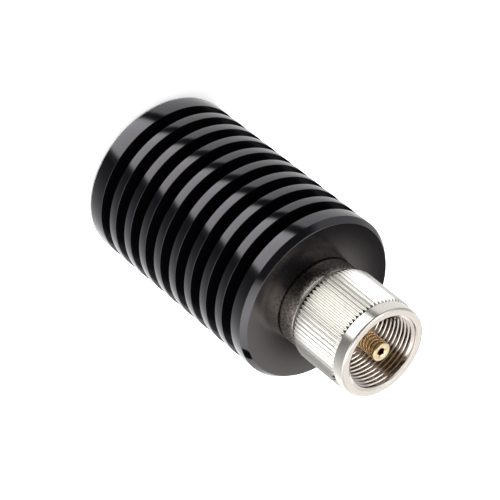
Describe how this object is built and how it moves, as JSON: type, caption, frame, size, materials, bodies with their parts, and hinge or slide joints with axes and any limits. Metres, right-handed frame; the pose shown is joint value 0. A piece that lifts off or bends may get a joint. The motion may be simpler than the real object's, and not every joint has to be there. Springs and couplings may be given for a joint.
{
  "type": "coaxial terminator",
  "caption": "Dummy load: finned round heat sink with a screw-on coaxial plug, a hollow centre pin and a knurled nut.",
  "frame": {"origin": "centre of the heat sink's flat rear end, on which the part stands", "axes": "+Z along the common axis, from the heat sink's rear end to the plug's mouth"},
  "size_m": [0.035, 0.035, 0.0689],
  "materials": {
    "anodised": "black anodised, fine turned",
    "body_plate": "satin nickel plate on brass",
    "spring_metal": "bare spring bronze",
    "nut_plate": "bright nickel plate on brass",
    "gold": "gold plate on brass",
    "fluoropolymer": "waxy white",
    "film": "dark film on a ceramic rod",
    "silver": "silver plate on brass",
    "ceramic": "white ceramic",
    "collet_metal": "bare brass"
  },
  "bodies": {
    "load": {"heat_sink": "anodised", "connector_body": "body_plate", "centre_pin": "gold", "front_insulator": "fluoropolymer", "rear_insulator": "fluoropolymer", "clamp_bush": "body_plate", "resistor_rod": "film", "resistor_front_cap": "silver", "resistor_rear_cap": "silver", "thermal_sleeve": "ceramic", "spring_washer": "spring_metal", "ground_collet": "collet_metal"},
    "ring": {"retaining_ring": "spring_metal"},
    "nut": {"coupling_nut": "nut_plate"}
  },
  "joints": [
    {"name": "nut_float", "type": "slide", "parent": "load", "child": "ring", "axis": [0, 0, 1], "range_m": [0, 0.0004]},
    {"name": "nut_spin", "type": "hinge", "parent": "ring", "child": "nut", "pos_m": [0, 0, 0.06], "axis": [0, 0, 1], "continuous": true}
  ]
}
